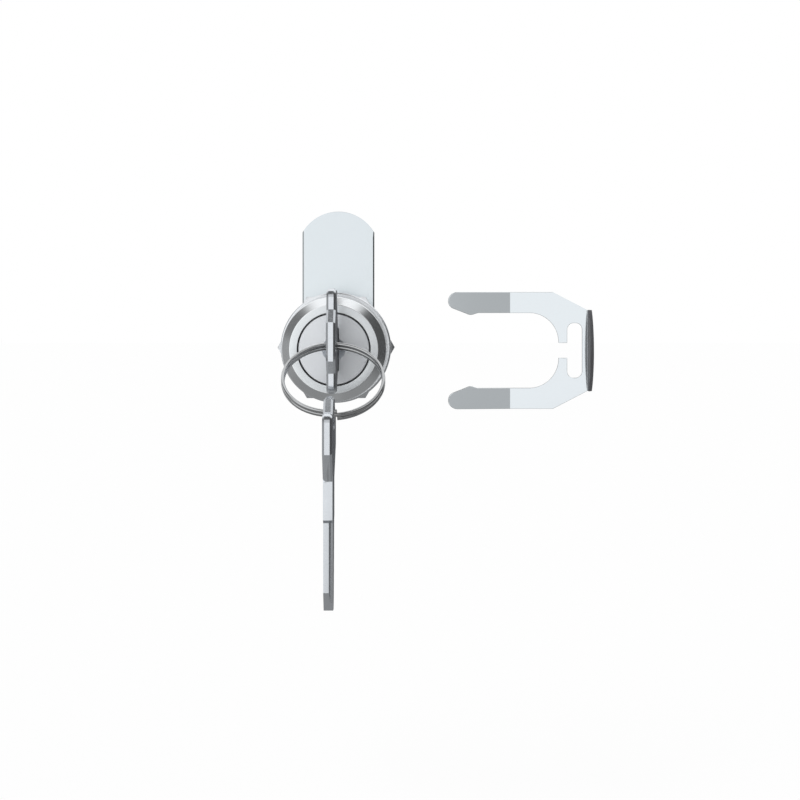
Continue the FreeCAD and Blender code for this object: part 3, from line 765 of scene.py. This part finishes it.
def makeFloor():
    spec = floorSpec
    shape = bmesh.new()
    bmesh.ops.create_grid(shape, x_segments=spec["cells"], y_segments=spec["cells"],
                          size=spec["size"])
    for vert in shape.verts:
        vert.co.z = spec["height"]
    mesh = toMesh(shape, "floor")
    floor = bpy.data.objects.new("floor", mesh)
    bpy.context.scene.collection.objects.link(floor)
    material = bpy.data.materials.new("floor")
    material.use_nodes = True
    nodes, links = material.node_tree.nodes, material.node_tree.links
    nodes.clear()
    output = nodes.new("ShaderNodeOutputMaterial")
    paint = nodes.new("ShaderNodeBsdfDiffuse")
    paint.inputs["Color"].default_value = (spec["paint"],) * 3 + (1,)
    pale = nodes.new("ShaderNodeEmission")
    pale.inputs["Color"].default_value = (1, 1, 1, 1)
    path = nodes.new("ShaderNodeLightPath")
    share = nodes.new("ShaderNodeMath")
    share.operation = "MULTIPLY"
    share.inputs[1].default_value = spec["whiteShare"]
    mix = nodes.new("ShaderNodeMixShader")
    links.new(path.outputs["Is Camera Ray"], share.inputs[0])
    links.new(share.outputs[0], mix.inputs["Fac"])
    links.new(paint.outputs[0], mix.inputs[1])
    links.new(pale.outputs[0], mix.inputs[2])
    links.new(mix.outputs[0], output.inputs[0])
    mesh.materials.append(material)
    floor.visible_glossy = False


makeFloor()
print("floor made")

# What the metal sees: levels along the lock axis for the left and the right half of the room,
# from the front (-1) to the back (1), and soft patches laid over them, in degrees about a way.
studio = {
    "left": [(-1.0, 1.0), (-0.30, 0.97), (-0.06, 0.42), (0.06, 0.30), (0.30, 0.28),
             (0.55, 0.70), (1.0, 0.80)],
    "right": [(-1.0, 0.12), (-0.90, 0.10), (-0.50, 0.14), (-0.10, 0.09), (0.06, 0.065),
              (0.30, 0.07), (0.55, 0.45), (1.0, 0.70)],
    "sideBlend": 0.25,
    "patches": [
        {"way": (0, 0.12, -1.0), "inner": 38, "outer": 82, "level": 0.245},
        {"way": (0, -0.15, -0.99), "inner": 8, "outer": 16, "level": 0.33},
        {"way": (-0.85, 0.08, 0.52), "inner": 6, "outer": 26, "level": 0.17},
        {"way": (0.5, -0.5, 0.71), "inner": 16, "outer": 28, "level": 0.95},
        {"way": (0.03, 0.62, 0.80), "inner": 41, "outer": 53, "level": 1.0},
        {"way": (0, -0.22, 0.975), "inner": 12, "outer": 16, "level": 0.10},
        {"way": (0, -0.5, 0.87), "inner": 12, "outer": 17, "level": 0.10},
        {"way": (0, 1.0, 0), "inner": 14, "outer": 28, "level": 0.07},
        {"way": (0.36, -0.92, -0.08), "inner": 10, "outer": 15, "level": 0.48},
        {"way": (0.02, -1.0, 0.0), "inner": 10, "outer": 15, "level": 0.96},
        {"way": (0.18, -0.945, -0.27), "inner": 6, "outer": 13, "level": 0.08},
    ],
    "tint": (0.965, 0.985, 1.0),
    "evenLevel": 0.55,
}


def rampNode(nodes, stops):
    ramp = nodes.new("ShaderNodeValToRGB")
    while len(ramp.color_ramp.elements) < len(stops):
        ramp.color_ramp.elements.new(0.5)
    for element, (spot, level) in zip(ramp.color_ramp.elements, stops):
        element.position = (spot + 1) / 2
        element.color = (level, level, level, 1)
    return ramp


# lays one patch over the level found so far
def addPatch(nodes, links, way, level, patch):
    dot = nodes.new("ShaderNodeVectorMath")
    dot.operation = "DOT_PRODUCT"
    dot.inputs[1].default_value = Vector(patch["way"]).normalized()
    links.new(way, dot.inputs[0])
    share = nodes.new("ShaderNodeMapRange")
    share.interpolation_type = "SMOOTHSTEP"
    share.inputs["From Min"].default_value = math.cos(math.radians(patch["outer"]))
    share.inputs["From Max"].default_value = math.cos(math.radians(patch["inner"]))
    links.new(dot.outputs["Value"], share.inputs["Value"])
    mix = nodes.new("ShaderNodeMix")
    mix.inputs["B"].default_value = patch["level"]
    links.new(share.outputs[0], mix.inputs["Factor"])
    links.new(level, mix.inputs["A"])
    return mix.outputs["Result"]


def makeWorld():
    world = bpy.data.worlds.new("studio")
    bpy.context.scene.world = world
    world.use_nodes = True
    nodes, links = world.node_tree.nodes, world.node_tree.links
    nodes.clear()
    way = nodes.new("ShaderNodeTexCoord").outputs["Generated"]
    parts = nodes.new("ShaderNodeSeparateXYZ")
    links.new(way, parts.inputs[0])
    toUnit = nodes.new("ShaderNodeMath")
    toUnit.operation = "MULTIPLY_ADD"
    toUnit.inputs[1].default_value = 0.5
    toUnit.inputs[2].default_value = 0.5
    links.new(parts.outputs["Y"], toUnit.inputs[0])
    sideShare = nodes.new("ShaderNodeMapRange")
    sideShare.interpolation_type = "SMOOTHSTEP"
    sideShare.inputs["From Min"].default_value = -studio["sideBlend"]
    sideShare.inputs["From Max"].default_value = studio["sideBlend"]
    links.new(parts.outputs["X"], sideShare.inputs["Value"])
    sides = nodes.new("ShaderNodeMix")
    links.new(sideShare.outputs[0], sides.inputs["Factor"])
    for half, socket in (("left", "A"), ("right", "B")):
        ramp = rampNode(nodes, studio[half])
        links.new(toUnit.outputs[0], ramp.inputs[0])
        links.new(ramp.outputs["Color"], sides.inputs[socket])
    level = sides.outputs["Result"]
    for patch in studio["patches"]:
        level = addPatch(nodes, links, way, level, patch)
    colour = nodes.new("ShaderNodeVectorMath")
    colour.operation = "SCALE"
    colour.inputs[0].default_value = studio["tint"]
    links.new(level, colour.inputs["Scale"])
    room = nodes.new("ShaderNodeBackground")
    links.new(colour.outputs[0], room.inputs["Color"])
    white = nodes.new("ShaderNodeBackground")
    white.inputs["Color"].default_value = (1, 1, 1, 1)
    even = nodes.new("ShaderNodeBackground")
    even.inputs["Color"].default_value = (studio["evenLevel"],) * 3 + (1,)
    path = nodes.new("ShaderNodeLightPath")
    seen = nodes.new("ShaderNodeMath")
    seen.operation = "MAXIMUM"
    links.new(path.outputs["Is Glossy Ray"], seen.inputs[0])
    links.new(path.outputs["Is Transmission Ray"], seen.inputs[1])
    inMetal = nodes.new("ShaderNodeMixShader")
    links.new(seen.outputs[0], inMetal.inputs["Fac"])
    links.new(even.outputs[0], inMetal.inputs[1])
    links.new(room.outputs[0], inMetal.inputs[2])
    pick = nodes.new("ShaderNodeMixShader")
    links.new(path.outputs["Is Camera Ray"], pick.inputs["Fac"])
    links.new(inMetal.outputs[0], pick.inputs[1])
    links.new(white.outputs[0], pick.inputs[2])
    output = nodes.new("ShaderNodeOutputWorld")
    links.new(pick.outputs[0], output.inputs[0])


makeWorld()

# two broad suns, for the floor's shadow and the dull surfaces
lamps = {
    "key_light": {"way": (0.45, 0.55, -1.0), "angle": 40, "strength": 1.6},
    "fill_light": {"way": (-0.6, 0.4, -0.8), "angle": 60, "strength": 0.5},
}
for name, spec in lamps.items():
    data = bpy.data.lights.new(name, "SUN")
    data.angle = math.radians(spec["angle"])
    data.energy = spec["strength"]
    lamp = bpy.data.objects.new(name, data)
    bpy.context.scene.collection.objects.link(lamp)
    lamp.rotation_euler = Vector(spec["way"]).to_track_quat("-Z", "Y").to_euler()
    lamp.visible_glossy = False
print("studio and lamps made")

# camera: level, straight at the lock's face, in millimetres from the lock axis
view = {
    "x": 14.17, "height": 11.4, "faceY": -5.8, "distance": 375.0,
    "lens": 78.98, "sensor": 36, "shift": -0.13, "near": 0.01, "far": 20,
}
cameraData = bpy.data.cameras.new("photo_camera")
cameraData.lens = view["lens"]
cameraData.sensor_width = view["sensor"]
cameraData.shift_y = view["shift"]
cameraData.clip_start = view["near"]
cameraData.clip_end = view["far"]
camera = bpy.data.objects.new("photo_camera", cameraData)
bpy.context.scene.collection.objects.link(camera)
camera.location = Vector((view["x"], view["faceY"] - view["distance"], view["height"])) * mm
camera.rotation_euler = (math.radians(90), 0, 0)
bpy.context.scene.camera = camera
bpy.context.scene.view_settings.view_transform = "Standard"
print("camera placed")
